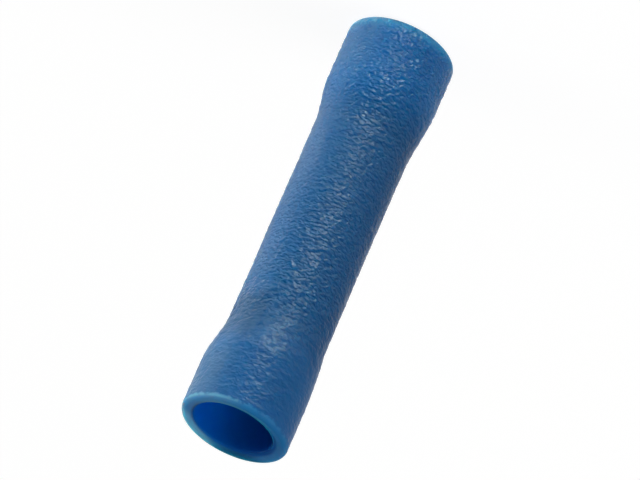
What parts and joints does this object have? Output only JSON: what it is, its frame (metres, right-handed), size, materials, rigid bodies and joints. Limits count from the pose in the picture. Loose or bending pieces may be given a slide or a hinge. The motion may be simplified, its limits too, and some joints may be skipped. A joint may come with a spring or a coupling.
{
  "type": "butt splice connector",
  "caption": "Insulated butt splice: a blue vinyl sleeve with belled ends round a tin plated crimp barrel that joins wires end to end.",
  "frame": {"origin": "centre of the lower end face, on the tube's axis", "axes": "+Z along the tube's axis from the lower mouth to the upper mouth; the part is round, so X and Y are any pair across it"},
  "size_m": [0.0064, 0.0064, 0.026],
  "materials": {
    "vinyl_sleeve": "slightly translucent blue soft PVC with a fine leather-like wrinkled grain, satin",
    "tinned_copper": "bright tin plate on a copper tube"
  },
  "bodies": {
    "root": {"insulating_sleeve": "vinyl_sleeve", "crimp_barrel": "tinned_copper"}
  },
  "joints": []
}
